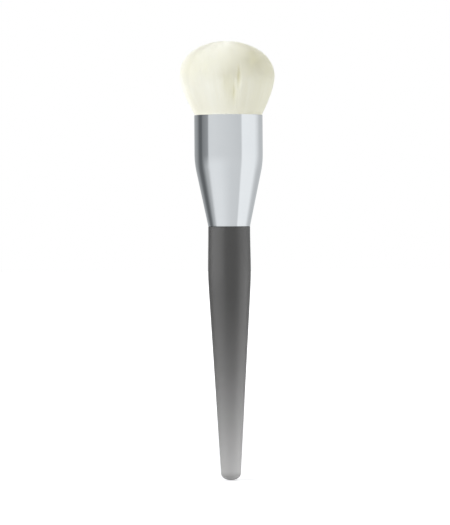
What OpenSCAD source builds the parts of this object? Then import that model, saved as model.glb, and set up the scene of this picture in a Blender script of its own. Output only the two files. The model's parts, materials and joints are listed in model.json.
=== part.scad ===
// Foundation brush: a full dome of cream filaments set in a tapered
// aluminium ferrule, on a frosted handle that swells towards the ferrule.
// The brush stands on the butt of its handle, with its length along +Z and
// the origin at the middle of the butt. Sizes are in millimetres.

/* [Handle] */
// Length of the handle from its butt to the ferrule
handle_l = 97.8; // [85:0.2:125]
// Radius of the handle where the dome of the butt begins
butt_r = 3.7; // [3:0.1:5]
// Height of the dome on the butt
butt_dome_h = 3; // [1.5:0.1:4]
// Radius at the widest place of the grip
grip_r = 8.25; // [8.1:0.05:10]
// Distance from the ferrule down to the widest place of the grip
grip_drop = 14.6; // [10:0.2:20]
// Length of the round that leads the long taper into the grip
grip_round_l = 13; // [8:0.5:18]
// Radius of the handle and the ferrule where they meet
shoulder_r = 8.05; // [7:0.05:8.1]
// Bevel round the shoulder that the ferrule sits on
shoulder_bevel = 0.2; // [0.05:0.05:0.25]

/* [Tenon] */
// Length of the tenon inside the ferrule
tenon_l = 14; // [10:0.5:18]
// Gap for glue between the tenon and the foot of the ferrule
tenon_clearance = 0.15; // [0.05:0.05:0.4]
// Number of glue grooves round the tenon
groove_count = 3; // [1:1:4]
// Width of a glue groove
groove_w = 1.6; // [1:0.1:1.9]
// Depth of a glue groove
groove_depth = 0.7; // [0.3:0.1:1.2]
// Chamfer at the end of the tenon
tenon_chamfer = 0.8; // [0.3:0.1:1.5]
// Thickness of the glue over the end of the tenon
glue_cap_h = 1; // [0.4:0.1:2]

/* [Ferrule] */
// Length of the ferrule from the handle to its rim
ferrule_l = 42.7; // [40:0.1:55]
// Outer radius of the straight barrel
barrel_r = 13.15; // [12:0.05:16]
// Length of the barrel from the corner of the bend to the rim
barrel_l = 17.8; // [16:0.1:21]
// Radius of the bend between the cone and the barrel
bend_r = 35; // [5:1:45]
// Length of the straight foot on the handle
foot_l = 1; // [0.6:0.1:2]
// Thickness of the sheet
wall = 0.4; // [0.3:0.05:0.8]

/* [Bristle head] */
// Strands across the bundle, an odd number
strands_across = 19; // [19:2:21]
// Strands across the core of the bundle
core_across = 7; // [5:2:9]
// Strands across the core and the middle ring together
middle_across = 13; // [11:2:15]
// Radius of the head at its widest
head_r = 18.2; // [15:0.1:22]
// Height of the head above the rim
head_h = 28.7; // [24:0.1:36]
// Height of the widest place above the rim
widest_h = 15.3; // [12:0.1:17]
// Height at which the strands bend over from the flare
flare_h = 6.5; // [4:0.1:8]
// Length of the tapered tip of a strand
tip_l = 4; // [2:0.1:4.5]
// Most that a tip ends short of the dome
tip_uneven = 0.5; // [0:0.1:0.8]
// Fullness of the dome, where 2 is an ellipse
dome_power = 2.15; // [1.9:0.05:2.6]
// How soon the flare turns upright, where 1 is a straight cone
flare_power = 1.55; // [1.2:0.05:2]

/* [Root of the bundle] */
// Depth of the bundle below the rim
root_depth = 12; // [9:0.5:13]
// Gap between the bundle and the ferrule
hair_clearance = 0.05; // [0.02:0.01:0.15]
// How far the binding draws the bundle in
neck_inset = 1.5; // [1.2:0.1:2.2]
// Height over which the bundle widens above the binding
neck_slope_l = 2; // [1:0.1:3]
// Diameter of the binding thread
thread_d = 0.7; // [0.4:0.05:0.8]
// Turns of the binding thread
thread_turns = 4; // [2:1:5]
// Gap below and above the binding
thread_margin = 0.3; // [0.1:0.05:0.5]
// Gap between the binding and the resin
thread_clearance = 0.1; // [0.05:0.05:0.2]
// Height of the resin below the bundle
resin_h = 6; // [3:0.5:8]

/* [Hidden] */

// Facets of a full turn in the preview, and steps along drawn curves
$fn = 96;
DOME_STEPS = 8;
ROUND_STEPS = 8;
BEND_STEPS = 6;
LIP_STEPS = 4;
THREAD_STEPS = 4;
TIP_SEED = 7;

// Cross-section of a strand at the bend and below its tip, as shares of its
// cell at the rim
bend_share = 0.9;
shoulder_share = 0.74;

// Heights along the axis
seam_z = handle_l;
rim_z = seam_z + ferrule_l;
bend_z = rim_z - barrel_l;
tenon_top_z = seam_z + tenon_l;
glue_top_z = tenon_top_z + glue_cap_h;
grip_z = seam_z - grip_drop;
root_z = rim_z - root_depth;
neck_top_z = root_z + thread_turns * thread_d + 2 * thread_margin;
full_z = neck_top_z + neck_slope_l;

// Radii that follow from the ferrule
tenon_r = shoulder_r - wall - tenon_clearance;
bundle_r = barrel_r - wall - hair_clearance;
neck_r = bundle_r - neck_inset;
binding_r = neck_r + thread_d;

// The cone's half angle, and the length that the bend takes off each side
cone_angle = atan((barrel_r - shoulder_r) / (bend_z - seam_z - foot_l));
bend_tangent = bend_r * tan(cone_angle / 2);

// The outside of the ferrule, as [height, radius] pairs from foot to rim
shell_line = [
    [seam_z, shoulder_r],
    [seam_z + foot_l, shoulder_r],
    for (s = [0 : BEND_STEPS]) bend_point(-cone_angle * (1 - s / BEND_STEPS)),
    [rim_z, barrel_r]
];

// A point on the bend, where angle 0 is the start of the barrel
function bend_point(angle) = [
    bend_z + bend_tangent + bend_r * sin(angle),
    barrel_r - bend_r * (1 - cos(angle))
];

// Inner radius of the ferrule at height z
function bore_r(z) = lookup(z, shell_line) - wall;

// Points [radius, height] up the inside of the ferrule between two heights
function bore_line(low, high) = [
    [bore_r(low), low],
    for (p = shell_line) if (p[0] > low && p[0] < high) [p[1] - wall, p[0]],
    [bore_r(high), high]
];

function reversed(points) = [for (k = [len(points) - 1 : -1 : 0]) points[k]];

// Points [radius, height] up the side of the tenon, with its glue grooves
function tenon_line() = [
    [tenon_r, seam_z],
    for (g = [1 : groove_count])
        let (middle = seam_z + tenon_l * g / (groove_count + 1))
        each [
            [tenon_r, middle - groove_w / 2],
            [tenon_r - groove_depth, middle - groove_w / 2],
            [tenon_r - groove_depth, middle + groove_w / 2],
            [tenon_r, middle + groove_w / 2]
        ],
    [tenon_r, tenon_top_z - tenon_chamfer],
    [tenon_r - tenon_chamfer, tenon_top_z]
];

// The quarter ellipse of the butt, from the axis to the side
function butt_line() = [
    for (s = [0 : DOME_STEPS])
        let (angle = 90 * s / DOME_STEPS)
        [butt_r * sin(angle), butt_dome_h * (1 - cos(angle))]
];

// The round between the taper and the grip: a curve whose two tangents are
// the taper and the straight side of the grip
function grip_line() =
    let (
        taper_slope = (grip_r - butt_r) / (grip_z - grip_round_l / 3 - butt_dome_h),
        corner = [grip_r, grip_z - grip_round_l / 3],
        start = [grip_r - taper_slope * grip_round_l * 2 / 3, grip_z - grip_round_l],
        end = [grip_r, grip_z]
    )
    [
        for (s = [0 : ROUND_STEPS])
            let (t = s / ROUND_STEPS)
            start * (1 - t) * (1 - t) + corner * 2 * t * (1 - t) + end * t * t
    ];

// The gentle draw-in from the grip to the shoulder
function shoulder_line() =
    let (top = seam_z - shoulder_bevel)
    [
        for (s = [1 : ROUND_STEPS])
            let (t = s / ROUND_STEPS)
            [
                grip_r - (grip_r - shoulder_r) * (1 - cos(180 * t)) / 2,
                grip_z + (top - grip_z) * t
            ]
    ];

module handle() {
    color("dimgray")
        rotate_extrude()
            polygon(concat(
                butt_line(),
                grip_line(),
                shoulder_line(),
                [[shoulder_r - shoulder_bevel, seam_z]],
                tenon_line(),
                [[0, tenon_top_z]]
            ));
}

// A drawn and spun shell with a rounded rim
module ferrule() {
    lip_r = wall / 2;
    outside = [for (p = shell_line) if (p[0] < rim_z) [p[1], p[0]]];
    lip = [
        for (s = [0 : LIP_STEPS])
            let (angle = 180 * s / LIP_STEPS)
            [barrel_r - lip_r + lip_r * cos(angle), rim_z - lip_r + lip_r * sin(angle)]
    ];
    color("silver")
        rotate_extrude()
            polygon(concat(
                outside,
                lip,
                reversed([for (p = outside) [p[0] - wall, p[1]]])
            ));
}

// Glue between the tenon and the ferrule, and over the tenon's end
module tenon_adhesive() {
    color("khaki")
        rotate_extrude()
            polygon(concat(
                tenon_line(),
                [[0, tenon_top_z], [0, glue_top_z]],
                reversed(bore_line(seam_z, glue_top_z))
            ));
}

// Resin under the roots, with a collar that rises round the binding
module root_resin() {
    collar_r = binding_r + thread_clearance;
    color("goldenrod")
        rotate_extrude()
            polygon(concat(
                [[0, root_z], [0, root_z - resin_h]],
                bore_line(root_z - resin_h, neck_top_z),
                [[collar_r, neck_top_z], [collar_r, root_z]]
            ));
}

// Turns of thread drawn tight round the root of the bundle
module binding_thread() {
    first_z = root_z + thread_margin;
    last_z = neck_top_z - thread_margin;
    turns_line = [
        for (turn = [0 : thread_turns - 1], s = [0 : THREAD_STEPS])
            let (angle = 180 * s / THREAD_STEPS)
            if (turn == 0 || s > 0)
            [
                neck_r + thread_d / 2 * (1 + sin(angle)),
                first_z + thread_d * (turn + (1 - cos(angle)) / 2)
            ]
    ];
    color("white")
        rotate_extrude()
            polygon(concat([[neck_r, first_z]], turns_line, [[neck_r, last_z]]));
}

// A point of the square from -1 to 1 laid on a disc of radius 1, which keeps
// all areas alike and turns each square ring into a round one
function on_disc(u, v) =
    u == 0 && v == 0 ? [0, 0] :
    abs(u) >= abs(v) ? u * [cos(45 * v / u), sin(45 * v / u)] :
    v * [sin(45 * u / v), cos(45 * u / v)];

function grid_corner(i, j) =
    bundle_r * on_disc(2 * i / strands_across - 1, 2 * j / strands_across - 1);

// The four corners of a strand's cell at the rim, anticlockwise from above
function cell_corners(i, j) = [
    grid_corner(i, j),
    grid_corner(i + 1, j),
    grid_corner(i + 1, j + 1),
    grid_corner(i, j + 1)
];

// How far out the strands have flared at height h above the rim
function flare(h) =
    1 + (head_r / bundle_r - 1) * (1 - pow(1 - min(h, widest_h) / widest_h, flare_power));

// Height of the dome over a place at the share of the bundle's radius
function dome_h(radius_share) =
    widest_h + (head_h - widest_h)
        * pow(1 - pow(min(radius_share, 1), dome_power), 1 / dome_power);

// One ring of a strand: its cell drawn in about the middle by a share, and
// moved out with the flare
function strand_ring(corners, middle, share, h) = [
    for (corner = corners)
        let (place = flare(h) * (middle + share * (corner - middle)))
        [place[0], place[1], rim_z + h]
];

// The points of a strand above the rim: two rings of four, then the tip
function strand_points(i, j, short) =
    let (
        corners = cell_corners(i, j),
        middle = (corners[0] + corners[1] + corners[2] + corners[3]) / 4,
        tip_h = dome_h(norm(middle) / bundle_r) - short,
        tip = flare(tip_h) * middle
    )
    concat(
        strand_ring(corners, middle, bend_share, flare_h),
        strand_ring(corners, middle, shoulder_share, tip_h - tip_l),
        [[tip[0], tip[1], rim_z + tip_h]]
    );

// A group of strands, fused to its slice of the bundle's root. It holds the
// square rings of cells that lie past low_across and within high_across.
// Cells share their edges at the rim, so the strands touch there only.
module bristles(low_across, high_across) {
    n = strands_across;
    row = n + 1;
    levels = [
        [rim_z, 1],
        [full_z, 1],
        [neck_top_z, neck_r / bundle_r],
        [root_z, neck_r / bundle_r]
    ];
    bottom = len(levels) - 1;
    grid_size = row * row;
    strand_start = len(levels) * grid_size;
    points_each = 9;

    function ring_of(i, j) = max(abs(2 * i + 1 - n), abs(2 * j + 1 - n));
    function in_group(i, j) = ring_of(i, j) >= low_across && ring_of(i, j) < high_across;
    function grid_index(level, corner) = level * grid_size + corner[0] * row + corner[1];
    function on_edge(corner) = ring_of(corner[0] - 0.5, corner[1] - 0.5) == n;

    cells = [for (i = [0 : n - 1], j = [0 : n - 1]) if (in_group(i, j)) [i, j]];
    shorts = rands(0, tip_uneven, len(cells), TIP_SEED);

    grid_points = [
        for (level = levels, i = [0 : n], j = [0 : n])
            let (place = level[1] * grid_corner(i, j))
            [place[0], place[1], level[0]]
    ];
    strands = [
        for (k = [0 : len(cells) - 1])
            let (central = ring_of(cells[k][0], cells[k][1]) == 0)
            each strand_points(cells[k][0], cells[k][1], central ? 0 : shorts[k])
    ];

    // Corners of a cell, and the cell beyond each edge that starts there
    steps = [[0, 0], [1, 0], [1, 1], [0, 1]];
    beyond = [[0, -1], [1, 0], [0, 1], [-1, 0]];

    sides = [
        for (k = [0 : len(cells) - 1], e = [0 : 3])
            let (
                first = strand_start + k * points_each,
                f = (e + 1) % 4,
                a = grid_index(0, cells[k] + steps[e]),
                b = grid_index(0, cells[k] + steps[f])
            )
            each [
                [a, first + e, first + f, b],
                [first + e, first + 4 + e, first + 4 + f, first + f],
                [first + 4 + e, first + 8, first + 4 + f]
            ]
    ];
    floors = [
        for (cell = cells)
            [for (step = steps) grid_index(bottom, cell + step)]
    ];
    walls = [
        for (cell = cells, e = [0 : 3])
            let (
                a = cell + steps[e],
                b = cell + steps[(e + 1) % 4],
                next = cell + beyond[e],
                outside = on_edge(a) && on_edge(b),
                rows = outside ? [0, 1, 2, 3] : [0, bottom]
            )
            if (!in_group(next[0], next[1]))
            each [
                for (r = [0 : len(rows) - 2])
                    [
                        grid_index(rows[r], a),
                        grid_index(rows[r], b),
                        grid_index(rows[r + 1], b),
                        grid_index(rows[r + 1], a)
                    ]
            ]
    ];

    polyhedron(points = concat(grid_points, strands), faces = concat(sides, floors, walls));
}

module core_bristles() {
    color("ivory") bristles(0, core_across);
}

module middle_bristles() {
    color("cornsilk") bristles(core_across, middle_across);
}

module outer_bristles() {
    color("floralwhite") bristles(middle_across, strands_across);
}

handle();
ferrule();
tenon_adhesive();
root_resin();
binding_thread();
core_bristles();
middle_bristles();
outer_bristles();
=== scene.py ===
"""The looks of a foundation brush, built around its packed construction.

The handle and the ferrule are turned again as smooth bodies of revolution,
and the head is grown as many thousands of fine tapered filaments. All sizes
are in metres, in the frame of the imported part: the brush stands on its butt
at the origin, with its length along +Z.
"""

import json
import logging
import math
from dataclasses import asdict, dataclass
from enum import Enum
from typing import Callable, Sequence, Union

import bpy
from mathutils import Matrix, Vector

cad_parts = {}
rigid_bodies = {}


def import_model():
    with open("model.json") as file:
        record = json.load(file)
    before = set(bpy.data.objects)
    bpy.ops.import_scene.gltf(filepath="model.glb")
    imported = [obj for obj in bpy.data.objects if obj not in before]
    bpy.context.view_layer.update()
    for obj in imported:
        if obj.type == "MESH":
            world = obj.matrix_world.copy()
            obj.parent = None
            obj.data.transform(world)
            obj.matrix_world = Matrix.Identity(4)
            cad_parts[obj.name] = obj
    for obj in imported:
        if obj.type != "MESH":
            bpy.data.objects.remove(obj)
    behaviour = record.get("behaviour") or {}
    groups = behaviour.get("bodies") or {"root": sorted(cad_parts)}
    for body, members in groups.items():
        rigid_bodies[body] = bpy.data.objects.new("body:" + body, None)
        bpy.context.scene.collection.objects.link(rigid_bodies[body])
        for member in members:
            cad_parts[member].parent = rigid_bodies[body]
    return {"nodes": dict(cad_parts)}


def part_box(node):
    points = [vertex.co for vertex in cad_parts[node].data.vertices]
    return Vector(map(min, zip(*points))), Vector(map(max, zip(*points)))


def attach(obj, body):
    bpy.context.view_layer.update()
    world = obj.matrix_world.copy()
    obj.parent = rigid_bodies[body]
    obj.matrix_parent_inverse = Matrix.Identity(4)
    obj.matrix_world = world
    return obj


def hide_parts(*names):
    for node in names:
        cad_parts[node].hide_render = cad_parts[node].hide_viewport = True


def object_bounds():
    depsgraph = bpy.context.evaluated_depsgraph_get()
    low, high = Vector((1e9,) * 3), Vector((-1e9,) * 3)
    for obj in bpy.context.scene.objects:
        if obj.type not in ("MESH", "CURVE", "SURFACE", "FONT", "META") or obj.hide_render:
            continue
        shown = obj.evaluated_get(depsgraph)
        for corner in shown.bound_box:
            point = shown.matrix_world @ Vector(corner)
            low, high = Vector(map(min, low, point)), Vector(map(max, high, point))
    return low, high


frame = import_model()
CAD_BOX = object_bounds()
BODY = "root"
MM = 0.001
GOLDEN_ANGLE = math.pi * (3 - math.sqrt(5))
# Smooth noise lies mostly between these
NOISE_LOW, NOISE_HIGH = 0.3, 0.7

log = logging.getLogger("foundation_brush")

Outline = list[tuple[float, float]]
Paint = tuple[float, float, float, float]
Greys = tuple[tuple[float, int], ...]


def srgb(red: int, green: int, blue: int) -> Paint:
    """Turns a colour as seen on a screen into the linear one that shaders take.

    Args:
        red: Red from 0 to 255.
        green: Green from 0 to 255.
        blue: Blue from 0 to 255.

    Returns:
        The linear colour with an alpha of 1.
    """
    def linear(level: int) -> float:
        """One channel, made linear."""
        share = level / 255
        return share / 12.92 if share <= 0.04045 else ((share + 0.055) / 1.055) ** 2.4

    return linear(red), linear(green), linear(blue), 1.0


def stand(name: str, data: bpy.types.ID) -> bpy.types.Object:
    """Stands an object at the origin of the scene.

    Args:
        name: The object's name.
        data: Its mesh, lamp or camera.

    Returns:
        The new object.
    """
    made = bpy.data.objects.new(name, data)
    bpy.context.scene.collection.objects.link(made)
    return made


def sum_of(operation: str, turned: bool = False) -> Callable[["Field", "Value"], "Field"]:
    """Makes the method that a sign such as + or * calls on a field.

    Args:
        operation: The operation of the Math node that the sign adds.
        turned: Whether the other value comes first.

    Returns:
        The method, which takes the other value and gives the result.
    """
    def method(field: "Field", other: "Value") -> "Field":
        """The result of the sum."""
        return field.tree.math(operation, *((other, field) if turned else (field, other)))

    return method


class Field:
    """A value inside a node tree, which can be used in sums as a number is."""

    def __init__(self, tree: "Tree", socket: bpy.types.NodeSocket) -> None:
        """Keeps the tree and the output socket that gives the value."""
        self.tree = tree
        self.socket = socket

    __add__, __radd__ = sum_of("ADD"), sum_of("ADD", turned=True)
    __sub__, __rsub__ = sum_of("SUBTRACT"), sum_of("SUBTRACT", turned=True)
    __truediv__, __rtruediv__ = sum_of("DIVIDE"), sum_of("DIVIDE", turned=True)
    __mul__ = sum_of("MULTIPLY")
    __pow__ = sum_of("POWER")


Value = Union[Field, float]
Given = Union[Field, float, str, bool, Sequence[float], bpy.types.ID]


class Tree:
    """A node tree under construction, for a material or for geometry."""

    def __init__(self, tree: bpy.types.NodeTree) -> None:
        """Keeps the tree that the nodes go into."""
        self.tree = tree

    def node(self, kind: str, inputs: dict[str, Given] | None = None, **settings: object) -> bpy.types.Node:
        """Adds a node.

        Args:
            kind: The node's type name.
            inputs: A value or a field for each input, by the input's name.
            **settings: Properties of the node itself.

        Returns:
            The new node.
        """
        made = self.tree.nodes.new(kind)
        for name, setting in settings.items():
            setattr(made, name, setting)
        for name, given in (inputs or {}).items():
            socket = next(s for s in made.inputs if s.enabled and name in (s.name, s.identifier))
            self.feed(socket, given)
        return made

    def feed(self, socket: bpy.types.NodeSocket, given: Given) -> None:
        """Gives an input socket a plain value, or links it to a field.

        Args:
            socket: The input socket.
            given: The value or the field.
        """
        if isinstance(given, Field):
            self.tree.links.new(given.socket, socket)
        else:
            socket.default_value = given

    def out(self, node: bpy.types.Node, name: str | None = None) -> Field:
        """The field that a node's output gives: its first in use, or the one with that name."""
        return Field(self, next(s for s in node.outputs if s.enabled and name in (None, s.name)))

    def put(self, kind: str, inputs: dict[str, Given] | None = None, **settings: object) -> Field:
        """Adds a node, as node() does, and gives the field of its first output in use."""
        return self.out(self.node(kind, inputs, **settings))

    def _result(self, node: bpy.types.Node, values: Sequence[Given]) -> Field:
        """Feeds a node's inputs in order.

        Args:
            node: The node.
            values: A value or a field for each input, from the first on.

        Returns:
            The field of its first output in use.
        """
        for socket, value in zip(node.inputs, values):
            self.feed(socket, value)
        return self.out(node)

    def math(self, operation: str, *values: Value, clamp: bool = False) -> Field:
        """The result of a sum of one to three values."""
        return self._result(self.node("ShaderNodeMath", operation=operation, use_clamp=clamp), values)

    def vector_math(self, operation: str, *values: Given) -> Field:
        """The result of a sum of one to three vectors."""
        return self._result(self.node("ShaderNodeVectorMath", operation=operation), values)

    def vector(self, x: Value, y: Value, z: Value) -> Field:
        """A vector of three values."""
        return self.put("ShaderNodeCombineXYZ", {"X": x, "Y": y, "Z": z})

    def parts(self, vector: Field) -> tuple[Field, Field, Field]:
        """The three values of a vector."""
        made = self.node("ShaderNodeSeparateXYZ", {"Vector": vector})
        return self.out(made, "X"), self.out(made, "Y"), self.out(made, "Z")

    def spread(self, value: Field, low: Value, high: Value, to_low: Value, to_high: Value,
               shape: str = "SMOOTHSTEP") -> Field:
        """Moves a value from one range into another, held at its ends.

        Args:
            value: The value to move.
            low: Where the first range begins.
            high: Where it ends.
            to_low: What the value becomes at low.
            to_high: What it becomes at high.
            shape: LINEAR or SMOOTHSTEP.

        Returns:
            The value in its new range.
        """
        return self.put("ShaderNodeMapRange", {
            "Value": value, "From Min": low, "From Max": high, "To Min": to_low, "To Max": to_high,
        }, interpolation_type=shape)

    def noise(self, vector: Field, scale: float, detail: float = 2.0, roughness: float = 0.5,
              output: str = "Fac") -> Field:
        """Smooth noise over a vector.

        Args:
            vector: Where the noise is read.
            scale: Waves to the metre.
            detail: How many finer octaves it has.
            roughness: How strong the finer octaves are.
            output: Fac for one value, or Color for three.

        Returns:
            The noise, about 0.5 on average.
        """
        made = self.node("ShaderNodeTexNoise", {
            "Vector": vector, "Scale": scale, "Detail": detail, "Roughness": roughness,
        })
        return self.out(made, output)


class GeometryTree(Tree):
    """A geometry node tree with named inputs, run once to give a plain mesh."""

    SOCKETS = {int: "NodeSocketInt", float: "NodeSocketFloat"}

    def __init__(self, name: str) -> None:
        """Makes a tree with a geometry input, a geometry output and a material input.

        Args:
            name: Name of the tree.
        """
        super().__init__(bpy.data.node_groups.new(name, "GeometryNodeTree"))
        self.name = name
        self.identifiers: dict[str, str] = {}
        for side in ("INPUT", "OUTPUT"):
            self.tree.interface.new_socket("Geometry", in_out=side, socket_type="NodeSocketGeometry")
        self.group_in = self.tree.nodes.new("NodeGroupInput")
        self.group_out = self.tree.nodes.new("NodeGroupOutput")
        self.material = self._declare("Material", "NodeSocketMaterial")

    def _declare(self, name: str, kind: str) -> Field:
        """Adds an input to the tree.

        Args:
            name: The input's name.
            kind: Type name of its socket.

        Returns:
            The field that the input gives.
        """
        made = self.tree.interface.new_socket(name, in_out="INPUT", socket_type=kind)
        self.identifiers[name] = made.identifier
        return Field(self, next(s for s in self.group_in.outputs if s.identifier == made.identifier))

    def number(self, name: str, kind: type = float) -> Field:
        """Adds a named input for a whole number or a size."""
        return self._declare(name, self.SOCKETS[kind])

    def finish(self, geometry: Field) -> None:
        """Ends the tree: instances are realized and the material is set.

        Args:
            geometry: The shape that the tree has built.
        """
        real = self.put("GeometryNodeRealizeInstances", {"Geometry": geometry})
        dressed = self.put("GeometryNodeSetMaterial", {"Geometry": real, "Material": self.material})
        self.tree.links.new(dressed.socket, self.group_out.inputs[0])

    def run(self, name: str, given: dict[str, object],
            start: bpy.types.Mesh | None = None) -> bpy.types.Object:
        """Runs the tree on a new object and keeps the result as a plain mesh.

        Args:
            name: Name of the piece.
            given: The material and the numbers for the tree's named inputs,
                by the input's name in small letters, with _ for a space.
            start: The mesh that the tree starts from, if it needs one.

        Returns:
            An object at the origin that holds the finished mesh.
        """
        seed = stand(name + "_seed", start or bpy.data.meshes.new(name + "_seed"))
        modifier = seed.modifiers.new(self.name, "NODES")
        modifier.node_group = self.tree
        for label, identifier in self.identifiers.items():
            modifier[identifier] = given[label.lower().replace(" ", "_")]
        evaluated = seed.evaluated_get(bpy.context.evaluated_depsgraph_get())
        mesh = bpy.data.meshes.new_from_object(evaluated)
        seed.modifiers.clear()
        bpy.data.objects.remove(seed)
        mesh.name = name
        return stand(name, mesh)


class Surface(Tree):
    """A material under construction, with its Principled shader at hand."""

    def __init__(self, name: str, **sockets: float) -> None:
        """Makes a material.

        Args:
            name: Name of the material.
            **sockets: Numbers that are the same all over, on the shader's own sockets.
        """
        self.material = bpy.data.materials.new(name)
        self.material.use_nodes = True
        super().__init__(self.material.node_tree)
        self.shader = self.tree.nodes["Principled BSDF"]
        self.set(sockets)

    def set(self, inputs: dict[str, Given]) -> None:
        """Gives the shader's sockets values or fields, by socket name."""
        for name, given in inputs.items():
            self.feed(self.shader.inputs[name], given)

    def end_with(self, shader: bpy.types.Node) -> None:
        """Ends the material with another shader in place of the Principled one."""
        self.tree.links.new(shader.outputs[0], self.tree.nodes["Material Output"].inputs[0])
        self.tree.nodes.remove(self.shader)

    def place(self) -> Field:
        """The point's own place in the frame of the part."""
        return self.out(self.node("ShaderNodeTexCoord"), "Object")

    def attribute(self, name: str) -> Field:
        """A number that the mesh carries."""
        return self.out(self.node("ShaderNodeAttribute", attribute_name=name), "Fac")

    def ramp(self, value: Field, stops: Sequence[tuple[float, Paint]], shape: str = "B_SPLINE") -> Field:
        """Colours along a value from 0 to 1.

        Args:
            value: The value that picks the colour.
            stops: A place and a linear colour for each stop.
            shape: How the colours run into each other.

        Returns:
            The colour.
        """
        made = self.node("ShaderNodeValToRGB", {"Fac": value})
        made.color_ramp.interpolation = shape
        elements = made.color_ramp.elements
        while len(elements) < len(stops):
            elements.new(1.0)
        for element, (place, colour) in zip(elements, stops):
            element.position = place
            element.color = colour
        return self.out(made, "Color")

    def bump(self, height: Field, depth: float) -> None:
        """Raises the surface by a height from 0 to 1 times a depth in metres."""
        self.set({"Normal": self.put("ShaderNodeBump", {"Height": height, "Distance": depth})})

    def mix(self, factor: Value, first: Given, second: Given, blend: str = "MIX") -> Field:
        """Mixes two colours.

        Args:
            factor: How much of the second there is, from 0 to 1.
            first: The first colour.
            second: The second colour.
            blend: How the second goes over the first.

        Returns:
            The mixed colour.
        """
        made = self.node("ShaderNodeMix", data_type="RGBA", blend_type=blend)
        for identifier, given in (("Factor_Float", factor), ("A_Color", first), ("B_Color", second)):
            self.feed(next(s for s in made.inputs if s.identifier == identifier), given)
        return self.out(made)


@dataclass(frozen=True)
class FrostedAcrylic:
    """Moulded acrylic with a frosted skin, dyed smoke grey and fading to clear.

    The fade runs along Z from fade_low to fade_high, a little clouded. Below
    butt_high the domed end is darkened as painted shade, as it faces down.
    """

    fade_low: float = 3.0 * MM
    fade_high: float = 72.0 * MM
    smoke: Paint = srgb(59, 58, 57)
    dusk: Paint = srgb(92, 91, 90)
    mist: Paint = srgb(149, 148, 147)
    clear: Paint = srgb(199, 198, 197)
    # butt: painted shade for the domed end, which faces down away from the light
    butt: Paint = srgb(177, 176, 175)
    butt_low: float = 2.0 * MM
    butt_high: float = 3.7 * MM
    clearness: float = 0.35
    clear_end: float = 0.8
    cloud_scale: float = 160.0
    cloud_depth: float = 0.03
    frost_scale: float = 5200.0
    frost_depth: float = 0.006 * MM
    smoothest: float = 0.36
    roughest: float = 0.5

    def material(self) -> bpy.types.Material:
        """Builds the material.

        Returns:
            The handle's material.
        """
        made = Surface("frosted_acrylic", IOR=1.49)
        place = made.place()
        height = made.parts(place)[2]
        along = made.spread(height, self.fade_low, self.fade_high, 0.0, 1.0, "LINEAR")
        cloud = made.noise(place, self.cloud_scale, detail=3.0)
        along = made.math("ADD", along, (cloud - 0.5) * self.cloud_depth, clamp=True)
        dye = made.ramp(along, [
            (0.0, self.clear), (0.3, self.mist), (0.6, self.dusk), (1.0, self.smoke),
        ])
        # painted shade on the domed end: full below butt_low, gone above butt_high
        end = made.spread(height, self.butt_low, self.butt_high, 1.0, 0.0)
        frost = made.noise(place, self.frost_scale)
        made.set({
            "Base Color": made.mix(end, dye, self.butt),
            "Roughness": made.spread(frost, NOISE_LOW, NOISE_HIGH, self.smoothest, self.roughest),
            "Transmission Weight": made.spread(along, 0.0, self.clear_end, self.clearness, 0.0),
        })
        made.bump(frost, self.frost_depth)
        return made.material


@dataclass(frozen=True)
class SpunAluminium:
    """Polished aluminium with the fine rings that spinning leaves."""

    tint: Paint = srgb(240, 241, 242)
    haze_tint: Paint = srgb(234, 236, 238)
    haze_scale: float = 90.0
    ring_pitch: float = 0.09 * MM
    ring_depth: float = 0.00012 * MM
    ring_waver: float = 0.02
    smoothest: float = 0.075
    roughest: float = 0.12

    def material(self) -> bpy.types.Material:
        """Builds the material.

        Returns:
            The ferrule's material.
        """
        made = Surface("spun_aluminium", Metallic=1.0)
        place = made.place()
        x, y, z = made.parts(place)
        level = made.vector(x * self.ring_waver, y * self.ring_waver, z)
        lines = made.noise(level, 1 / self.ring_pitch, detail=3.0, roughness=0.7)
        haze = made.noise(place, self.haze_scale, detail=3.0)
        made.set({
            "Base Color": made.mix(haze, self.tint, self.haze_tint),
            "Roughness": made.spread(lines + haze, 0.7, 1.3, self.smoothest, self.roughest),
        })
        made.bump(lines, self.ring_depth)
        return made.material


@dataclass(frozen=True)
class Filament:
    """Soft synthetic filament, cream, a touch paler towards its tip as painted light.

    The darker root is painted shade deep among the filaments, and the paler
    tip a painted glow of light through the fine tips. The deep colour is
    painted shade where the head parts and in its hollow. The streaks are
    faint bands of filaments that are a little dimmer and warmer.
    """

    # root to tip: painted shade deep among the filaments, paling to a painted glow through the fine tips
    root: Paint = srgb(251, 249, 241)
    tip: Paint = srgb(254, 253, 248)
    # deep: painted shade where the head parts and in its hollow
    deep: Paint = srgb(246, 243, 216)
    pale_from: float = 0.2
    pale_to: float = 1.1
    tone_shift: float = 0.5
    streak_scale: float = 420.0
    streak_draw: float = 0.12
    streak_dim: float = 0.99
    warmth: float = 0.985

    def material(self) -> bpy.types.Material:
        """Builds the material, which reads each filament's own tone and length.

        Returns:
            The filaments' material.
        """
        made = Surface("cream_filament", Roughness=0.6)
        along = made.attribute("along")
        x, y, z = made.parts(made.place())
        streak = made.noise(made.vector(x, y, z * self.streak_draw), self.streak_scale)
        toned = along + (made.attribute("tone") - 0.5) * self.tone_shift
        # painted light along each filament, from the shaded root to the glowing tip
        pale = made.spread(toned, self.pale_from, self.pale_to, 0.0, 1.0)
        # the partings' painted shade, read from the shade attribute
        colour = made.mix(made.attribute("shade"), made.mix(pale, self.root, self.tip), self.deep)
        dim = made.spread(streak, 0.25, 0.75, self.streak_dim, 1.0)
        dimmed = made.mix(1.0, colour, made.vector(dim, dim, dim * self.warmth), "MULTIPLY")
        made.set({"Base Color": dimmed})
        return made.material


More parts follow.
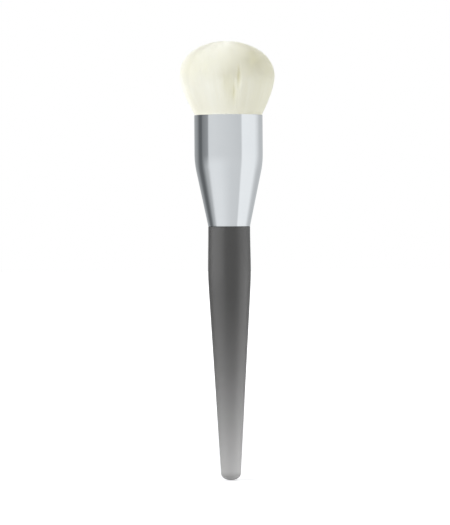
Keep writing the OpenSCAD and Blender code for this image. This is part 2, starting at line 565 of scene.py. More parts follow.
@dataclass(frozen=True)
class Cured:
    """Clear glue or resin that has set inside the ferrule, with faint clouds."""

    name: str
    pale: Paint
    deep: Paint
    cloud_scale: float = 600.0
    cloud_depth: float = 0.02 * MM
    smoothest: float = 0.15
    roughest: float = 0.35

    def material(self) -> bpy.types.Material:
        """Builds the material.

        Returns:
            The material of a glue or resin.
        """
        made = Surface(self.name, IOR=1.5)
        cloud = made.noise(made.place(), self.cloud_scale, detail=4.0)
        made.set({
            "Base Color": made.mix(cloud, self.pale, self.deep),
            "Roughness": made.spread(cloud, NOISE_LOW, NOISE_HIGH, self.smoothest, self.roughest),
        })
        made.bump(cloud, self.cloud_depth)
        return made.material


@dataclass(frozen=True)
class WoundThread:
    """Waxed cotton thread, with the slant of its twist."""

    pale: Paint = srgb(238, 236, 228)
    deep: Paint = srgb(196, 192, 180)
    twists_round: float = 160.0
    twists_up: float = 9000.0
    twist_depth: float = 0.03 * MM

    def material(self) -> bpy.types.Material:
        """Builds the material.

        Returns:
            The thread's material.
        """
        made = Surface("wound_thread", Roughness=0.8)
        x, y, z = made.parts(made.place())
        turn = made.math("ARCTAN2", y, x)
        twist = made.math("SINE", turn * self.twists_round + z * self.twists_up) * 0.5 + 0.5
        made.set({"Base Color": made.mix(twist, self.deep, self.pale)})
        made.bump(twist, self.twist_depth)
        return made.material


class Lathe(GeometryTree):
    """Turns an outline into a body of revolution.

    The starting mesh holds the outline's points in order, with the radius as
    x and the height as z. The grid of the body has one column for each step
    of the turn and one row for each point.
    """

    WELD = 0.0005 * MM
    SHARP_ANGLE = math.radians(28)

    def __init__(self) -> None:
        """Builds the tree."""
        super().__init__("lathe")
        steps = self.number("Steps", int)
        sharp = self.number("Sharp Angle")
        outline = self.out(self.group_in, "Geometry")
        count = self.put("GeometryNodeAttributeDomainSize", {"Geometry": outline})
        grid = self.put("GeometryNodeMeshGrid", {"Vertices X": steps + 1.0, "Vertices Y": count})
        index = self.put("GeometryNodeInputIndex")
        column = self.math("FLOOR", (index + 0.5) / count)
        point = self.put("GeometryNodeSampleIndex", {
            "Geometry": outline,
            "Value": self.put("GeometryNodeInputPosition"),
            "Index": index - column * count,
        }, data_type="FLOAT_VECTOR", domain="POINT")
        radius, _, height = self.parts(point)
        angle = column / steps * math.tau
        turned = self.vector(radius * self.math("COSINE", angle), radius * self.math("SINE", angle), height)
        body = self.put("GeometryNodeSetPosition", {"Geometry": grid, "Position": turned})
        closed = self.put("GeometryNodeMergeByDistance", {"Geometry": body, "Distance": self.WELD})
        smooth = self.put("GeometryNodeSetShadeSmooth", {
            "Geometry": closed, "Shade Smooth": True,
        }, domain="FACE")
        edge_angle = self.out(self.node("GeometryNodeInputMeshEdgeAngle"), "Unsigned Angle")
        is_sharp = self.math("GREATER_THAN", edge_angle, sharp)
        self.finish(self.put("GeometryNodeSetShadeSmooth", {
            "Geometry": smooth, "Selection": is_sharp, "Shade Smooth": False,
        }, domain="EDGE"))

    def turn(self, name: str, outline: Outline, material: bpy.types.Material, steps: int) -> bpy.types.Object:
        """Turns an outline of radius and height points.

        Args:
            name: Name of the piece.
            outline: The points in order, with the material on their left.
            material: The piece's material.
            steps: Flats round the body.

        Returns:
            The finished piece.
        """
        line = bpy.data.meshes.new(name + "_outline")
        line.from_pydata([(radius, 0.0, height) for radius, height in outline], [], [])
        given = {"material": material, "steps": steps, "sharp_angle": self.SHARP_ANGLE}
        return self.run(name, given, line)


def arc(centre: tuple[float, float], radius: tuple[float, float], start: float, end: float,
        steps: int) -> Outline:
    """Points along a part of a circle or an ellipse.

    Args:
        centre: Radius and height of its centre.
        radius: How far it reaches outwards and upwards.
        start: Angle of the first point in degrees, from straight outwards.
        end: Angle of the last point.
        steps: Stretches along it.

    Returns:
        The points in order.
    """
    angles = [math.radians(start + (end - start) * step / steps) for step in range(steps + 1)]
    return [(centre[0] + radius[0] * math.cos(a), centre[1] + radius[1] * math.sin(a)) for a in angles]


def sweep(start: tuple[float, float], corner: tuple[float, float], end: tuple[float, float],
          steps: int) -> Outline:
    """Points along a curve that leaves its start towards a corner and reaches its end from there.

    Args:
        start: Radius and height of the first point.
        corner: Where the two straight lines that the curve joins would meet.
        end: Radius and height of the last point.
        steps: Stretches along it.

    Returns:
        The points in order.
    """
    points = []
    for step in range(steps + 1):
        t = step / steps
        weights = ((1 - t) ** 2, 2 * t * (1 - t), t * t)
        radius, height = (
            sum(weight * point[axis] for weight, point in zip(weights, (start, corner, end)))
            for axis in (0, 1))
        points.append((radius, height))
    return points


@dataclass
class Handle:
    """The moulded handle: domed butt, long taper, grip, shoulder and tenon."""

    lathe: Lathe
    seam_z: float
    tenon_top_z: float
    grip_radius: float
    butt_radius: float = 3.83 * MM
    butt_dome: float = 2.6 * MM
    grip_drop: float = 17.6 * MM
    grip_round: float = 8.0 * MM
    grip_corner: float = 1 / 3
    shoulder_radius: float = 8.05 * MM
    shoulder_bevel: float = 0.2 * MM
    tenon_radius: float = 7.5 * MM
    tenon_chamfer: float = 0.8 * MM
    groove_count: int = 3
    groove_width: float = 1.6 * MM
    groove_depth: float = 0.7 * MM
    steps: int = 160
    taper_steps: int = 12
    round_steps: int = 20

    def outline(self) -> Outline:
        """The handle's outline from the butt to the tenon's end.

        Returns:
            Points of radius and height.
        """
        grip_z = self.seam_z - self.grip_drop
        corner = (self.grip_radius, grip_z - self.grip_round * self.grip_corner)
        slope = (self.grip_radius - self.butt_radius) / (corner[1] - self.butt_dome)
        start_z = grip_z - self.grip_round
        start = (self.grip_radius - slope * (corner[1] - start_z), start_z)
        points = [(0.0, 0.0)]
        points += arc((0.0, self.butt_dome), (self.butt_radius, self.butt_dome), -90, 0, self.round_steps)[1:]
        for step in range(1, self.taper_steps):
            share = step / self.taper_steps
            points.append((
                self.butt_radius + (start[0] - self.butt_radius) * share,
                self.butt_dome + (start[1] - self.butt_dome) * share,
            ))
        points += sweep(start, corner, (self.grip_radius, grip_z), self.round_steps)
        top = self.seam_z - self.shoulder_bevel
        for step in range(1, self.round_steps + 1):
            share = step / self.round_steps
            ease = (1 - math.cos(math.pi * share)) / 2
            points.append((
                self.grip_radius - (self.grip_radius - self.shoulder_radius) * ease,
                grip_z + (top - grip_z) * share,
            ))
        return points + self._tenon()

    def _tenon(self) -> Outline:
        """The outline's end, from the shoulder over the grooved tenon to its top.

        Returns:
            Points of radius and height.
        """
        points = [(self.shoulder_radius - self.shoulder_bevel, self.seam_z), (self.tenon_radius, self.seam_z)]
        length = self.tenon_top_z - self.seam_z
        for groove in range(1, self.groove_count + 1):
            middle = self.seam_z + length * groove / (self.groove_count + 1)
            low, high = middle - self.groove_width / 2, middle + self.groove_width / 2
            inner = self.tenon_radius - self.groove_depth
            points += [(self.tenon_radius, low), (inner, low), (inner, high), (self.tenon_radius, high)]
        return points + [
            (self.tenon_radius, self.tenon_top_z - self.tenon_chamfer),
            (self.tenon_radius - self.tenon_chamfer, self.tenon_top_z),
            (0.0, self.tenon_top_z),
        ]

    def build(self) -> bpy.types.Object:
        """Turns the handle and dresses it.

        Returns:
            The handle's piece.
        """
        piece = self.lathe.turn("frosted_handle", self.outline(), FrostedAcrylic().material(), self.steps)
        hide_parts("handle")
        return piece


@dataclass
class Ferrule:
    """The spun shell: straight foot, cone, soft bend, barrel and rounded rim."""

    lathe: Lathe
    seam_z: float
    rim_z: float
    barrel_radius: float
    foot_radius: float = 8.1 * MM
    foot_length: float = 0.4 * MM
    crease_below: float = 0.15 * MM
    crease_above: float = 0.1 * MM
    crease_out: float = 0.02 * MM
    barrel_length: float = 18.3 * MM
    bend_radius: float = 35.0 * MM
    bend_steps: int = 24
    wall: float = 0.4 * MM
    rim_rise: float = 0.15 * MM
    rim_steps: int = 12
    steps: int = 256

    def outline(self) -> Outline:
        """The shell's outline: up the outside, over the rim and down the inside.

        Returns:
            Points of radius and height, closed on the first.
        """
        bend_z = self.rim_z - self.barrel_length
        foot_top = self.seam_z + self.foot_length
        angle = math.atan((self.barrel_radius - self.foot_radius) / (bend_z - foot_top))
        centre = (self.barrel_radius - self.bend_radius, bend_z + self.bend_radius * math.tan(angle / 2))
        outside = [
            (self.foot_radius, self.seam_z),
            (self.foot_radius, foot_top - self.crease_below),
            (self.foot_radius + self.crease_out, foot_top + self.crease_above),
        ]
        outside += arc(centre, (self.bend_radius, self.bend_radius), -math.degrees(angle), 0, self.bend_steps)
        lip = self.wall / 2
        lip_centre = (self.barrel_radius - lip, self.rim_z + self.rim_rise - lip)
        inside = [(radius - self.wall, height) for radius, height in reversed(outside)]
        return outside + arc(lip_centre, (lip, lip), 0, 180, self.rim_steps) + inside + outside[:1]

    def build(self) -> bpy.types.Object:
        """Turns the ferrule and dresses it.

        Returns:
            The ferrule's piece.
        """
        piece = self.lathe.turn("spun_ferrule", self.outline(), SpunAluminium().material(), self.steps)
        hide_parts("ferrule")
        return piece


class Draw(Enum):
    """The random numbers that each filament draws, each with its own stream."""

    THROUGH = 1
    TURN = 2
    TONE = 3
    SHORT = 4
    LOOSE = 5


class BristleTree(GeometryTree):
    """Grows filaments from a disc at the ferrule's rim up to a dome.

    Each filament keeps its share of the way out to the bundle's edge. It
    rises through the flare to its own height under the dome, wanders a
    little, makes way at the partings, and tapers to its tip.
    """

    # Shade: how much painted shade a parting gives the filaments' colour
    PARTING_SIZES = ("Azimuth", "Climb", "Width", "Length", "Depth", "Shade")
    SIDES = 3
    TURN_JITTER = 0.004
    LEAST_SHORTFALL = 0.05
    MIDDLE_SHORTFALL = 0.45
    SIDE_POWER = 8.0
    CROWN_CALM = 0.25
    CALM_RISE = 1.6
    FRAY_POWER = 3.0
    FRAY_INWARD = 0.4
    WANDER_ACROSS = 60.0
    WANDER_UP = 2.2
    WANDER_CLIMB = 1.5
    PARTING_HANG = 2.0

    def __init__(self, partings: int) -> None:
        """Builds the tree.

        Args:
            partings: How many partings the head has.
        """
        super().__init__("bristles")
        count = self.number("Count", int)
        points = self._roots(count)
        line = self.put("GeometryNodeCurvePrimitiveLine", {"Start": (0, 0, 0), "End": (0, 0, 1)})
        line = self.put("GeometryNodeResampleCurve", {"Curve": line, "Count": self.number("Stations", int)})
        grown = self.put("GeometryNodeInstanceOnPoints", {"Points": points, "Instance": line})
        grown = self.put("GeometryNodeRealizeInstances", {"Geometry": grown})
        grown = self._keep(grown, "along", self.parts(self.put("GeometryNodeInputPosition"))[2])
        along = self._read("along")
        place, shade = self._place(along, partings)
        # the partings' painted shade, kept on each point for the material
        grown = self._keep(grown, "shade", shade)
        grown = self.put("GeometryNodeSetPosition", {"Geometry": grown, "Position": place})
        grown = self._face_outwards(grown)
        taper = self.spread(along, self.number("Taper Start"), 1.0, 1.0, self.number("Tip Share"))
        section = self.put("GeometryNodeCurvePrimitiveCircle", {"Resolution": self.SIDES, "Radius": 1.0})
        tubes = self.put("GeometryNodeCurveToMesh", {
            "Curve": grown,
            "Profile Curve": section,
            "Scale": self.number("Filament Radius") * taper,
            "Fill Caps": True,
        })
        self.finish(self.put("GeometryNodeSetShadeSmooth", {"Geometry": tubes, "Shade Smooth": False}))

    def _keep(self, geometry: Field, name: str, value: Field, kind: str = "FLOAT") -> Field:
        """Stores a value on each point.

        Args:
            geometry: The points or curves.
            name: Name that the value is read by.
            value: The value.
            kind: FLOAT or FLOAT_VECTOR.

        Returns:
            The geometry with the value on it.
        """
        return self.put("GeometryNodeStoreNamedAttribute", {
            "Geometry": geometry, "Name": name, "Value": value,
        }, data_type=kind, domain="POINT")

    def _read(self, name: str, kind: str = "FLOAT") -> Field:
        """Reads a value that was stored under a name."""
        return self.put("GeometryNodeInputNamedAttribute", {"Name": name}, data_type=kind)

    def _face_outwards(self, curves: Field) -> Field:
        """Turns each filament so that one of its sides looks out of the head.

        Args:
            curves: The filaments' middle lines.

        Returns:
            The lines with their turn set.
        """
        x, y, _ = self.parts(self.put("GeometryNodeInputPosition"))
        free = self.put("GeometryNodeSetCurveNormal", {
            "Curve": curves, "Normal": self.vector_math("NORMALIZE", self.vector(y, 0.0 - x, 0.0)),
        }, mode="FREE")
        turn = (self._read("tone") - 0.5) * self.number("Facet Turn")
        return self.put("GeometryNodeSetCurveTilt", {"Curve": free, "Tilt": turn})

    def _roots(self, count: Field) -> Field:
        """Scatters the roots evenly over a ring of the bundle.

        The tufts of a ring share one spiral of spots, and each takes every
        so manieth of them.

        Args:
            count: Number of filaments in the tuft.

        Returns:
            Points that carry their spot on the disc and three random numbers.
        """
        seed = self.number("Seed", int)

        def random(low: float, high: float, draw: Draw) -> Field:
            """A number for each point, from a fixed seed.

            Args:
                low: The least it can be.
                high: The most it can be.
                draw: Which of the filament's numbers it is.

            Returns:
                The number.
            """
            return self.put("FunctionNodeRandomValue", {
                "Min": low, "Max": high, "Seed": seed + float(draw.value),
            }, data_type="FLOAT")

        inner = self.number("Inner Share")
        outer = self.number("Outer Share")
        tufts = self.number("Tufts", int)
        index = self.put("GeometryNodeInputIndex") * tufts + self.number("Tuft", int)
        through = (index + random(0.0, 1.0, Draw.THROUGH)) / (count * tufts)
        share = self.math("SQRT", inner * inner + (outer * outer - inner * inner) * through)
        angle = index * GOLDEN_ANGLE + random(-self.TURN_JITTER, self.TURN_JITTER, Draw.TURN)
        spot = self.vector(share * self.math("COSINE", angle), share * self.math("SINE", angle), 0.0)
        points = self.put("GeometryNodePoints", {"Count": count})
        points = self._keep(points, "spot", spot, "FLOAT_VECTOR")
        for draw in (Draw.TONE, Draw.LOOSE, Draw.SHORT):
            points = self._keep(points, draw.name.lower(), random(0.0, 1.0, draw))
        return points

    def _place(self, along: Field, partings: int) -> tuple[Field, Field]:
        """Where a filament's point lies.

        Args:
            along: Share of the filament's length, from 0 at the root.
            partings: How many partings the head has.

        Returns:
            The point's place in the frame of the part, and how much painted
            shade its colour takes there.
        """
        root_depth = self.number("Root Depth")
        widest = self.number("Widest Height")
        x, y, _ = self.parts(self._read("spot", "FLOAT_VECTOR"))
        share = self.math("SQRT", x * x + y * y)
        height = along * (self._tip(share, widest) + root_depth) - root_depth
        climb = self.math("MAXIMUM", height, 0.0) / widest
        inward, sideward, shade = self._partings(x, y, climb, partings)
        reach = self._reach(climb) - inward
        drift_x, drift_y = self._drift(x, y, along, climb)
        lean = self.number("Lean") * climb * climb / (1.0 + climb * climb)
        place = self.vector(
            lean + x * reach - y * sideward + drift_x,
            y * reach + x * sideward + drift_y,
            self.number("Rim Z") + height,
        )
        return place, shade

    def _tip(self, share: Field, widest: Field) -> Field:
        """How high a filament's tip stands, a little short of the dome.

        Args:
            share: The filament's share of the way out to the bundle's edge.
            widest: Height at which the head is widest.

        Returns:
            The tip's height above the rim.
        """
        top = self.number("Head Height")
        power = self.number("Dome Power")
        dome = self.math("MAXIMUM", 1.0 - share ** power, 0.0) ** (1.0 / power)
        shortfall = self._read("short") ** 0.5
        side = self.number("Side Unevenness") * share ** self.SIDE_POWER
        mixed = side * (shortfall - self.MIDDLE_SHORTFALL)
        calm = self.math("MINIMUM", share * self.CALM_RISE + self.CROWN_CALM, 1.0)
        drop = self.number("Unevenness") * calm * (shortfall - self.LEAST_SHORTFALL + mixed)
        return widest + (top - widest) * dome - drop

    def _reach(self, climb: Field) -> Field:
        """How far out the bundle's edge is, with each filament frayed a little.

        Args:
            climb: Height above the rim as a share of the widest height.

        Returns:
            The radius of the edge.
        """
        bundle = self.number("Bundle Radius")
        opened = 1.0 - self.math("MAXIMUM", 1.0 - climb, 0.0) ** self.number("Flare Power")
        fray = self.number("Fray")
        loose = self._read("loose") ** self.FRAY_POWER * fray - fray * self.FRAY_INWARD
        frayed = 1.0 + loose * self.math("MINIMUM", climb, 1.0)
        return bundle * (1.0 + (self.number("Head Radius") / bundle - 1.0) * opened) * frayed

    def _drift(self, x: Field, y: Field, along: Field, climb: Field) -> tuple[Field, Field]:
        """How far a filament wanders off its line.

        Args:
            x: The filament's spot on the disc, to the right.
            y: Its spot on the disc, away from the camera's side.
            along: Share of the filament's length.
            climb: Height above the rim as a share of the widest height.

        Returns:
            How far it wanders along x and along y.
        """
        where = self.vector(x * self.WANDER_ACROSS, y * self.WANDER_ACROSS, along * self.WANDER_UP)
        wander_x, wander_y, _ = self.parts(self.noise(where, 1.0, output="Color"))
        drift = self.number("Stray") * self.math("MINIMUM", climb, self.WANDER_CLIMB)
        return (wander_x - 0.5) * drift, (wander_y - 0.5) * drift

    def _partings(self, x: Field, y: Field, climb: Field, partings: int) -> tuple[Field, Field, Field]:
        """Soft partings, where the filaments draw back and to both sides.

        Args:
            x: The filament's spot on the disc, to the right.
            y: Its spot on the disc, away from the camera's side.
            climb: Height above the rim as a share of the widest height.
            partings: How many partings there are.

        Returns:
            How far the filaments draw inwards, how far round, and how much
            painted shade their colour takes.
        """
        azimuth = self.math("ARCTAN2", x, 0.0 - y)
        inward = sideward = shade = self.math("ADD", 0.0, 0.0)
        for number in range(1, partings + 1):
            azimuth_at, climb_at, width, length, depth, painted_shade_share = (
                self.number(f"Parting {number} {size}") for size in self.PARTING_SIZES)
            off = (azimuth - azimuth_at) / width
            up = (climb - climb_at) / length
            up = self.math("MAXIMUM", up * self.PARTING_HANG, 0.0 - up)
            strength = self.math("EXPONENT", 0.0 - off * off - up * up)
            inward = inward + strength * depth
            sideward = sideward + strength * depth * off
            # painted shade, deepest in the middle of each parting
            shade = shade + strength * painted_shade_share
        return inward, sideward * self.number("Parting Push"), shade


@dataclass(frozen=True)
class Ring:
    """A ring of the bundle, grown in one or more tufts of filaments."""

    node: str
    inner_share: float
    outer_share: float
    filaments: int
    tufts: int
    stations: int


@dataclass(frozen=True)
class Parting:
    """A soft parting or hollow in the head's side.

    The azimuth and the width are in degrees round the head, from the
    camera's side. The climb and the length are shares of the height at which
    the head is widest. The shade is how much painted shade the filaments'
    colour takes there.
    """

    azimuth: float
    climb: float
    width: float
    length: float
    depth: float
    # shade: painted shade given to the filaments' colour
    shade: float

    def sizes(self) -> tuple[float, ...]:
        """The parting's numbers, in the order of BristleTree.PARTING_SIZES."""
        turn, width = math.radians(self.azimuth), math.radians(self.width)
        return turn, self.climb, width, self.length, self.depth, self.shade


@dataclass
class BristleHead:
    """The domed head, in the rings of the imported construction."""

    rim_z: float
    top_z: float
    bundle_radius: float = 12.68 * MM
    head_radius: float = 18.44 * MM
    widest_height: float = 15.0 * MM
    dome_power: float = 2.12
    flare_power: float = 1.42
    root_depth: float = 2.0 * MM
    filament_radius: float = 0.095 * MM
    taper_start: float = 0.78
    tip_share: float = 0.15
    facet_turn: float = 0.12
    fray: float = 0.004
    unevenness: float = 0.8 * MM
    side_unevenness: float = 1.0
    stray: float = 0.015 * MM
    lean: float = -0.95 * MM
    parting_push: float = 0.15
    first_seed: int = 100
    seed_step: int = 10

    # the last number of each parting is its painted shade
    PARTINGS = (
        Parting(46.0, 1.34, 14.5, 0.3, 3.2 * MM, 0.1),
        Parting(15.0, 1.0, 2.3, 0.26, 0.5 * MM, 0.45),
        Parting(-2.0, 0.86, 4.5, 0.3, 0.1 * MM, 0.16),
        Parting(8.7, 0.57, 2.8, 0.2, 0.34 * MM, 0.4),
        Parting(6.0, 0.8, 8.5, 0.42, 0.36 * MM, 0.3),
    )
    RINGS = (
        Ring("core_bristles", 0.0, 7 / 19, 5600, 1, 6),
        Ring("middle_bristles", 7 / 19, 13 / 19, 11600, 2, 6),
        Ring("outer_bristles", 13 / 19, 1.0, 27000, 7, 8),
    )

    def build(self) -> list[bpy.types.Object]:
        """Grows all the tufts and dresses them.

        Returns:
            The tufts, one piece each.
        """
        tree = BristleTree(len(self.PARTINGS))
        material = Filament().material()
        tufts = []
        for ring in self.RINGS:
            for number in range(ring.tufts):
                name = ring.node.replace("_bristles", "_tuft") + f"_{number + 1}"
                piece = tree.run(name, {"material": material} | self._sizes(ring, number))
                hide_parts(ring.node)
                tufts.append(piece)
        return tufts

    def _sizes(self, ring: Ring, number: int) -> dict[str, float]:
        """The numbers for one tuft.

        Args:
            ring: The ring that the tuft belongs to.
            number: The tuft's number in the ring, from 0.

        Returns:
            The sizes of the head, the ring and the partings, and the tuft's
            own numbers, by name.
        """
        partings = {
            f"parting_{place}_{size.lower()}": value
            for place, parting in enumerate(self.PARTINGS, 1)
            for size, value in zip(BristleTree.PARTING_SIZES, parting.sizes())
        }
        return asdict(self) | asdict(ring) | partings | {
            "head_height": self.top_z - self.rim_z,
            "count": ring.filaments // ring.tufts,
            "tuft": number,
            "seed": self.first_seed + self.seed_step * number,
        }


class InnerPieces:
    """The glue, resin and thread inside the ferrule, which keep their solids."""

    FINISHES = {
        "tenon_adhesive": Cured("tenon_glue", srgb(226, 220, 188), srgb(206, 196, 158)),
        "root_resin": Cured("root_resin_set", srgb(214, 178, 104), srgb(188, 148, 78)),
        "binding_thread": WoundThread(),
    }

    def build(self) -> list[bpy.types.Object]:
        """Gives each piece its finish.

        Returns:
            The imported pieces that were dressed.
        """
        dressed = []
        for node, finish in self.FINISHES.items():
            piece = frame["nodes"][node]
            piece.data.materials.clear()
            piece.data.materials.append(finish.material())
            dressed.append(piece)
        return dressed


class Reflected(Enum):
    """Whether a lamp shows in glossy surfaces, or only lights the scene."""

    NO = False
    YES = True


class Lit(Enum):
    """What a lamp lights."""

    HEAD = "head"
    HANDLE = "handle"
    BUT_HANDLE = "but handle"

    def takes(self, piece: str) -> bool:
        """Whether a piece is lit.

        Args:
            piece: The piece's name.

        Returns:
            True where the lamp lights it.
        """
        if self is Lit.HEAD:
            return "_tuft_" in piece
        return (piece == "frosted_handle") == (self is Lit.HANDLE)


@dataclass(frozen=True)
class Lamp:
    """A soft lamp that stands beside the brush and faces its axis.

    The azimuth is in degrees round the brush from the camera's side,
    positive to the camera's right.
    """

    name: str
    azimuth: float
    distance: float
    z: float
    aim_z: float
    width: float
    height: float
    power: float
    lit: Lit
    colour: tuple[float, float, float] = (1.0, 1.0, 1.0)
    reflected: Reflected = Reflected.NO

    def build(self) -> bpy.types.Object:
        """Makes the lamp.

        Returns:
            The lamp, which the camera doesn't see.
        """
        data = bpy.data.lights.new(self.name, "AREA")
        data.shape = "RECTANGLE"
        data.size, data.size_y = self.width, self.height
        data.energy = self.power
        data.color = self.colour
        lamp = stand(self.name, data)
        lamp.location = sideways(self.azimuth) * self.distance + Vector((0, 0, self.z))
        outward = lamp.location - Vector((0, 0, self.aim_z))
        lamp.rotation_euler = outward.to_track_quat("Z", "Y").to_euler()
        lamp.visible_camera = False
        lamp.visible_glossy = self.reflected.value
        receivers = bpy.data.collections.new(self.name + "_lights")
        for piece in bpy.data.objects:
            if piece.type == "MESH" and self.lit.takes(piece.name):
                receivers.objects.link(piece)
        lamp.light_linking.receiver_collection = receivers
        return lamp


@dataclass(frozen=True)
class LightTent:
    """A round paper tent that only reflections show.

    Its wall stands on the floor and its apron lies on it. Their greys change
    round the brush, by azimuth from the camera's side: the apron has the
    lower run of greys, which passes into the upper run as the wall rises to
    fold_z.
    """

    radius: float = 0.6
    height: float = 0.9
    fold_z: float = 0.118
    apron_radius: float = 0.03
    apron_z: float = 0.4 * MM
    segments: int = 72
    less_red: int = 3
    more_blue: int = 2
    upper: Greys = (
        (-180, 200), (-150, 170), (-128, 148), (-116, 104), (-104, 99), (-97, 134), (-74, 156),
        (-70, 222), (-50, 223), (0, 216), (43, 208), (46, 248), (98, 245), (112, 227),
        (126, 202), (141, 197), (180, 200),
    )
    lower: Greys = (
        (-180, 200), (-150, 170), (-137, 150), (-125, 108), (-110, 101), (-103, 120), (-96, 150),
        (-90, 174), (-80, 190), (-75, 216), (-68, 234), (-50, 236), (-30, 233), (10, 216),
        (42, 212), (47, 248), (98, 246), (108, 228), (118, 204), (134, 193), (180, 200),
    )

    def build(self) -> bpy.types.Object:
        """Makes the tent.

        Returns:
            The tent, as one mesh.
        """
        rings = ((self.apron_radius, self.apron_z), (self.radius, self.apron_z), (self.radius, self.height))
        points = [
            sideways(360 * step / self.segments) * radius + Vector((0, 0, z))
            for radius, z in rings for step in range(self.segments)
        ]
        faces = []
        for ring in range(len(rings) - 1):
            for step in range(self.segments):
                near, far = step + ring * self.segments, (step + 1) % self.segments + ring * self.segments
                faces.append((near, far, far + self.segments, near + self.segments))
        mesh = bpy.data.meshes.new("light_tent")
        mesh.from_pydata(points, [], faces)
        mesh.materials.append(self._paper())
        tent = stand("light_tent", mesh)
        tent.visible_camera = False
        tent.visible_diffuse = False
        tent.visible_transmission = False
        tent.visible_shadow = False
        return tent

    def _paper(self) -> bpy.types.Material:
        """Glowing paper whose greys follow the azimuth.

        Returns:
            The tent's material.
        """
        made = Surface("tent_paper")
        x, y, z = made.parts(made.place())
        turn = made.math("ARCTAN2", x, 0.0 - y) / math.tau + 0.5
        runs = [
            made.ramp(turn, [
                (azimuth / 360 + 0.5, srgb(grey - self.less_red, grey, grey + self.more_blue))
                for azimuth, grey in greys
            ], "LINEAR")
            for greys in (self.lower, self.upper)
        ]
        above = made.spread(z, 0.0, self.fold_z, 0.0, 1.0, "LINEAR")
        made.end_with(made.node("ShaderNodeEmission", {"Color": made.mix(above, *runs), "Strength": 1.0}))
        return made.material


def sideways(azimuth: float) -> Vector:
    """The level way out from the brush at an azimuth from the camera's side.

    Args:
        azimuth: Degrees, positive to the camera's right.

    Returns:
        A vector of length 1.
    """
    angle = math.radians(azimuth)
    return Vector((math.sin(angle), -math.cos(angle), 0.0))


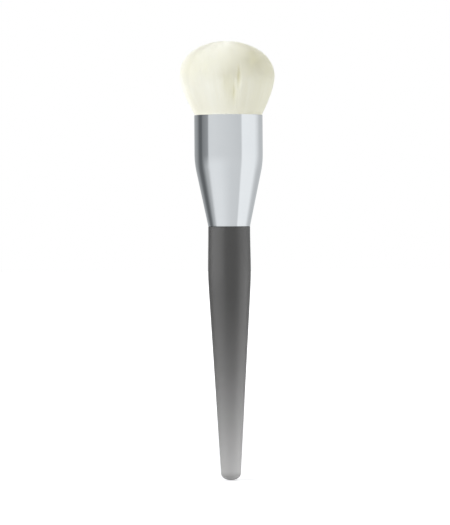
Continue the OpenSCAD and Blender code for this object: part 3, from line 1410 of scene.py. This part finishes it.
@dataclass
class Studio:
    """A plain white studio: floor, surround, soft lamps and the light tent."""

    floor_size: float = 12.0
    floor_white: float = 0.82
    surround_light: float = 0.45
    near_glow: float = 0.5
    near_radius: float = 0.15
    far_radius: float = 0.9
    lamps: tuple[Lamp, ...] = (
        Lamp("lamp_key", -66, 1.5, 0.24, 0.12, 1.6, 2.0, 36.3, Lit.BUT_HANDLE, (0.9, 0.94, 1.0)),
        Lamp("lamp_front", -5, 1.2, 0.60, 0.14, 2.4, 1.8, 1.4, Lit.HEAD, (1.0, 0.97, 0.78)),
        Lamp("lamp_right", 75, 1.2, 0.12, 0.12, 0.5, 0.5, 1.8, Lit.BUT_HANDLE, (0.92, 0.93, 0.88)),
        Lamp("lamp_back", 150, 0.4, 1.2, 0.15, 0.6, 0.6, 1.7, Lit.BUT_HANDLE, (0.89, 0.94, 1.0)),
        Lamp("lamp_left_back", -115, 0.9, 0.8, 0.15, 0.6, 0.6, 4.4, Lit.HEAD, (0.72, 0.76, 1.0)),
        Lamp("lamp_low", 50, 0.8, 0.08, 0.15, 0.8, 0.15, 1.1, Lit.HEAD, (1.0, 0.99, 0.5)),
        Lamp("lamp_key_handle", -66, 1.5, 0.40, 0.12, 0.9, 1.4, 5.0, Lit.HANDLE),
        Lamp("lamp_fill_handle", 75, 1.2, 0.12, 0.12, 0.5, 0.5, 2.0, Lit.HANDLE),
        Lamp("lamp_top_handle", -50, 0.6, 1.5, 0.12, 1.0, 1.0, 3.3, Lit.HANDLE),
        Lamp("lamp_low_handle", 62, 0.25, 0.02, 0.01, 0.2, 0.04, 0.17, Lit.HANDLE),
        Lamp("strip_left", -72, 0.35, 0.085, 0.075, 0.62, 0.11, 0.74, Lit.HANDLE, reflected=Reflected.YES),
        Lamp("strip_right", 85, 0.35, 0.045, 0.045, 0.40, 0.09, 0.33, Lit.HANDLE, reflected=Reflected.YES),
    )

    def build(self) -> None:
        """Makes the surround, the floor, the tent and the lamps."""
        self._surround()
        self._floor()
        LightTent().build()
        for lamp in self.lamps:
            lamp.build()

    def _shown(self, tree: Tree) -> Field:
        """Tells what is looked at from what only lights.

        Args:
            tree: The tree that asks.

        Returns:
            1 where the camera, a glossy surface or clear matter looks, else 0.
        """
        path = tree.node("ShaderNodeLightPath")
        shown = tree.math("MAXIMUM", tree.out(path, "Is Camera Ray"), tree.out(path, "Is Glossy Ray"))
        return tree.math("MAXIMUM", shown, tree.out(path, "Is Transmission Ray"))

    def _surround(self) -> None:
        """White where it is looked at, and a softer light elsewhere."""
        world = bpy.data.worlds.new("studio_surround")
        bpy.context.scene.world = world
        world.use_nodes = True
        tree = Tree(world.node_tree)
        tree.tree.nodes.clear()
        strength = tree.spread(self._shown(tree), 0.0, 1.0, self.surround_light, 1.0, "LINEAR")
        glow = tree.put("ShaderNodeBackground", {"Color": (1, 1, 1, 1), "Strength": strength})
        tree.tree.links.new(glow.socket, tree.node("ShaderNodeOutputWorld").inputs[0])

    def _floor(self) -> bpy.types.Object:
        """A pale floor that is white to look at but keeps the brush's shadow.

        Returns:
            The floor, as one face.
        """
        half = self.floor_size / 2
        corners = [(-half, -half, 0), (half, -half, 0), (half, half, 0), (-half, half, 0)]
        mesh = bpy.data.meshes.new("studio_floor")
        mesh.from_pydata(corners, [], [(0, 1, 2, 3)])
        made = Surface("floor_paper")
        white = self.floor_white
        paper = made.put("ShaderNodeBsdfDiffuse", {"Color": (white, white, white, 1)})
        away = made.vector_math("LENGTH", made.place())
        level = made.spread(away, self.near_radius, self.far_radius, self.near_glow, 1.0)
        glow = made.put("ShaderNodeEmission", {"Color": (1, 1, 1, 1), "Strength": self._shown(made) * level})
        both = made.node("ShaderNodeAddShader")
        made.feed(both.inputs[0], paper)
        made.feed(both.inputs[1], glow)
        made.end_with(both)
        mesh.materials.append(made.material)
        return stand("studio_floor", mesh)


@dataclass
class Camera:
    """A long lens at the height of the seam, which looks down a little."""

    distance: float = 1.3
    eye_z: float = 97.9 * MM
    aim_z: float = 83.9 * MM
    aim_x: float = -1.6 * MM
    roll: float = 0.42
    metres_per_pixel: float = 0.385 * MM
    picture_height: int = 525
    sensor: float = 36.0
    clip_start: float = 0.1
    clip_end: float = 50.0

    def build(self) -> bpy.types.Object:
        """Makes the scene's camera.

        Returns:
            The camera.
        """
        data = bpy.data.cameras.new("camera")
        data.sensor_width = self.sensor
        data.lens = self.sensor * self.distance / (self.metres_per_pixel * self.picture_height)
        data.clip_start, data.clip_end = self.clip_start, self.clip_end
        camera = stand("camera", data)
        camera.location = (self.aim_x, -self.distance, self.eye_z)
        pitch = math.atan2(self.aim_z - self.eye_z, self.distance)
        camera.rotation_euler = (math.radians(90) + pitch, math.radians(self.roll), 0)
        bpy.context.scene.camera = camera
        return camera


def let_light_through(bounces: int = 24) -> None:
    """Lets light pass among the pale filaments as often as it does in a real head.

    Args:
        bounces: How often a ray of light may be passed on.
    """
    cycles = bpy.context.scene.cycles
    cycles.max_bounces = bounces
    cycles.diffuse_bounces = bounces


def main() -> None:
    """Builds the brush, the studio and the camera."""
    logging.basicConfig(level=logging.INFO, format="%(name)s: %(message)s")
    bpy.context.scene.view_settings.view_transform = "Standard"
    _, handle_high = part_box("handle")
    ferrule_low, ferrule_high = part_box("ferrule")
    seam_z, rim_z = ferrule_low.z, ferrule_high.z
    head_top_z = CAD_BOX[1].z

    lathe = Lathe()
    pieces = [
        Handle(lathe, seam_z, handle_high.z, handle_high.x).build(),
        Ferrule(lathe, seam_z, rim_z, ferrule_high.x).build(),
    ]
    pieces += BristleHead(rim_z, head_top_z).build()
    for piece in pieces:
        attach(piece, BODY)
    pieces += InnerPieces().build()
    for piece in pieces:
        log.info("%s: %d faces", piece.name, len(piece.data.polygons))

    Studio().build()
    Camera().build()
    let_light_through()


if __name__ == "__main__":
    main()
